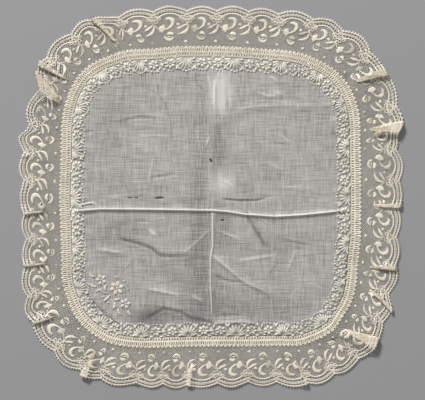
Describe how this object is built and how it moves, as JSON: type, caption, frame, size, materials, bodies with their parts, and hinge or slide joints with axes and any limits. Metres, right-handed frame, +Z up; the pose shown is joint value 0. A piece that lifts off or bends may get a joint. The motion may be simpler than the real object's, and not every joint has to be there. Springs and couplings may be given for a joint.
{
  "type": "lace-edged handkerchief",
  "caption": "Pale linen handkerchief lying flat, with pressed folds, an embroidered rounded border, a ladder insertion band and a gathered scalloped lace edging.",
  "frame": {"origin": "middle of the underside of the handkerchief's bounding box, on the surface that it lies on", "axes": "+Z up, out of the cloth's face; +Y towards the top edge of the cloth and +X towards its right edge, as seen from above"},
  "size_m": [0.3407, 0.3386, 0.0045],
  "materials": {
    "linen": "fine plain-woven pale linen, slightly sheer, with pressed creases and whitework embroidery",
    "band": "dense cream cotton ladder insertion, matt",
    "lace": "cream bobbin lace on a fine net ground, matt"
  },
  "bodies": {
    "root": {"linen_centre": "linen", "insertion_band": "band", "lace_edging": "lace"}
  },
  "joints": []
}
